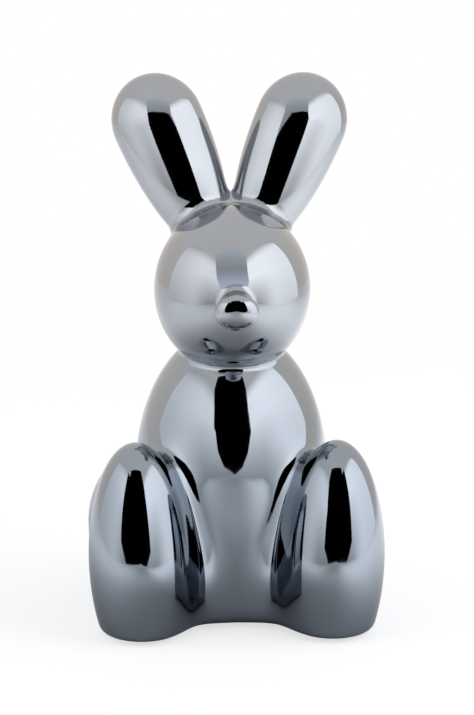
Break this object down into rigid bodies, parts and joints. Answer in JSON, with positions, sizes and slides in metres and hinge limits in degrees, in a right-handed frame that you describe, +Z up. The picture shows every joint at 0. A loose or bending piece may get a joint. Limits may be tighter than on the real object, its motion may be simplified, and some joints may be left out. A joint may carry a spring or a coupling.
{
  "type": "rabbit figurine",
  "caption": "Seated rabbit ornament in balloon-animal style: long ears, round head with a button nose, egg-shaped body, stout legs and haunches, in mirror-glazed ceramic on felt pads.",
  "frame": {"origin": "on the ground, under the middle of the figurine's width and depth", "axes": "+Z up through the ears, -Y the way the rabbit faces, +X its own left"},
  "size_m": [0.1408, 0.146, 0.2584],
  "materials": {
    "mirror_glaze": "mirror-bright dark blue-grey metallic glaze",
    "felt": "dark grey pressed felt"
  },
  "bodies": {
    "root": {"torso": "mirror_glaze", "head": "mirror_glaze", "nose": "mirror_glaze", "tail": "mirror_glaze", "ear_left": "mirror_glaze", "ear_right": "mirror_glaze", "leg_left": "mirror_glaze", "leg_right": "mirror_glaze", "haunch_left": "mirror_glaze", "haunch_right": "mirror_glaze", "front_pad_left": "felt", "front_pad_right": "felt", "rear_pad_left": "felt", "rear_pad_right": "felt"}
  },
  "joints": []
}
